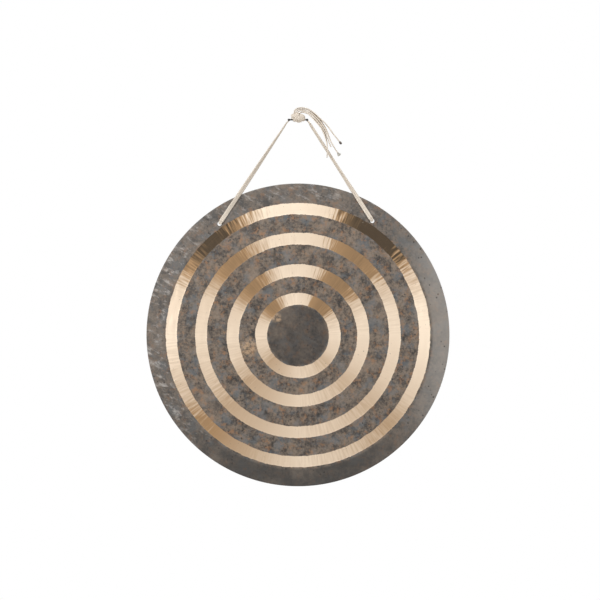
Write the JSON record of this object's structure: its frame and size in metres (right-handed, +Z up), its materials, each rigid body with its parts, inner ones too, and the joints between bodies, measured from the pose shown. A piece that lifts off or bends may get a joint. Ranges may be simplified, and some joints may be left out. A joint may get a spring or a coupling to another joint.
{
  "type": "sun gong",
  "caption": "Hammered bronze gong with bright scraped rings, hung from a knotted flat cotton tape on a short black pin.",
  "frame": {"origin": "on the axis of the pin that carries the sling, above the middle of the gong", "axes": "+Z up, +X to the right as seen from the struck face, which looks along -Y"},
  "size_m": [0.5, 0.0312, 0.6252],
  "materials": {
    "bronze": "fire scale with bright scraped rings",
    "tape": "flat woven cotton",
    "melted_dark": "melted and charred tape end",
    "melted_pale": "melted tape end",
    "black_steel": "black satin"
  },
  "bodies": {
    "hanger": {"hanger_pin": "black_steel"},
    "sling": {"tape_knot": "tape", "strand_left_front": "tape", "strand_left_back": "tape", "strand_right_front": "tape", "strand_right_back": "tape", "fold_left": "tape", "fold_right": "tape", "tail_long_dark": "tape", "tail_long_pale": "tape", "tail_short": "tape", "tail_inner": "tape", "fused_end_dark": "melted_dark", "fused_end_pale": "melted_pale"},
    "gong": {"gong_plate": "bronze"}
  },
  "joints": [
    {"name": "sling_swing", "type": "hinge", "parent": "hanger", "child": "sling", "pos_m": [0, 0, 0], "axis": [1, 0, 0], "range_deg": [-35, 35]},
    {"name": "gong_nod", "type": "hinge", "parent": "sling", "child": "gong", "pos_m": [-0.00339, 0, -0.16598], "axis": [0.9998, 0, 0.0187], "range_deg": [-1.5, 1.5]}
  ]
}
